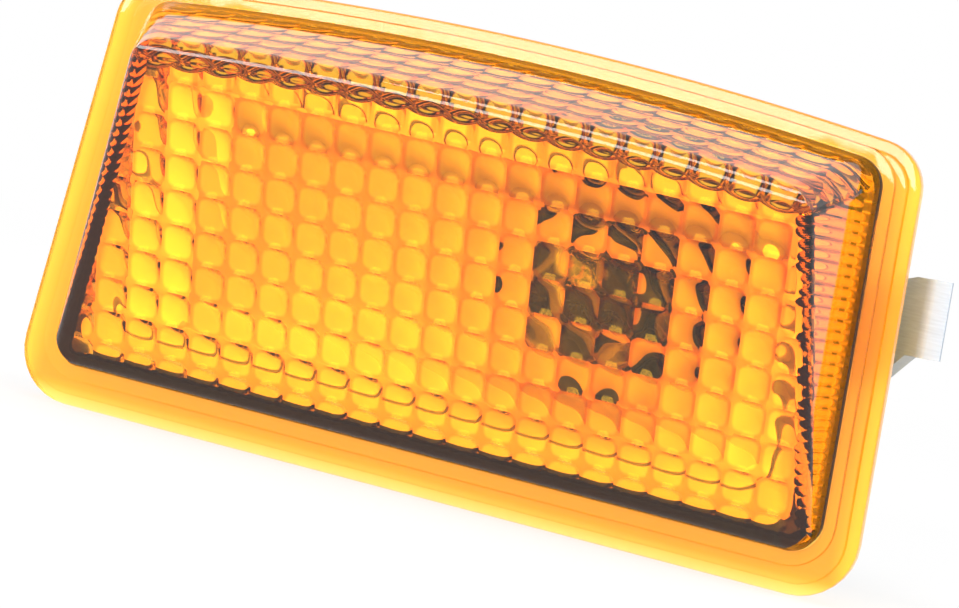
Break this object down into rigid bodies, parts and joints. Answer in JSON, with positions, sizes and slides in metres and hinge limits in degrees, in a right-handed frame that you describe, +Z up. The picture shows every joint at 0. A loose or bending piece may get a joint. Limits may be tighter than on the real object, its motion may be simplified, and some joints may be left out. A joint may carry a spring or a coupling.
{
  "type": "side repeater lamp",
  "caption": "Wedge-shaped side repeater lamp with a prismatic amber lens and flange, held in a body panel by a hook and a spring clip, with a twist-in bulb holder.",
  "frame": {"origin": "middle of the seat plane, where the back of the flange meets the body panel", "axes": "+X along the lamp towards the spring clip's end, +Y back into the panel, +Z up"},
  "size_m": [0.0784, 0.0549, 0.0402],
  "materials": {
    "amber_lens": "clear amber acrylic, polished outside",
    "black_housing": "fine grained moulding",
    "bright_reflector": "bright white, smooth",
    "black_rubber": "soft, matt",
    "bulb_glass": "clear",
    "holder_plastic": "heat resistant, slightly glossy",
    "contact_brass": "stamped",
    "spring_steel": "rolled stainless strip"
  },
  "bodies": {
    "root": {"lens": "amber_lens", "housing": "black_housing", "reflector": "bright_reflector", "panel_gasket": "black_rubber", "bulb": "bulb_glass", "bulb_holder": "holder_plastic", "holder_seal": "black_rubber", "contact_feed": "contact_brass", "contact_earth": "contact_brass", "spring_clip": "spring_steel"}
  },
  "joints": []
}
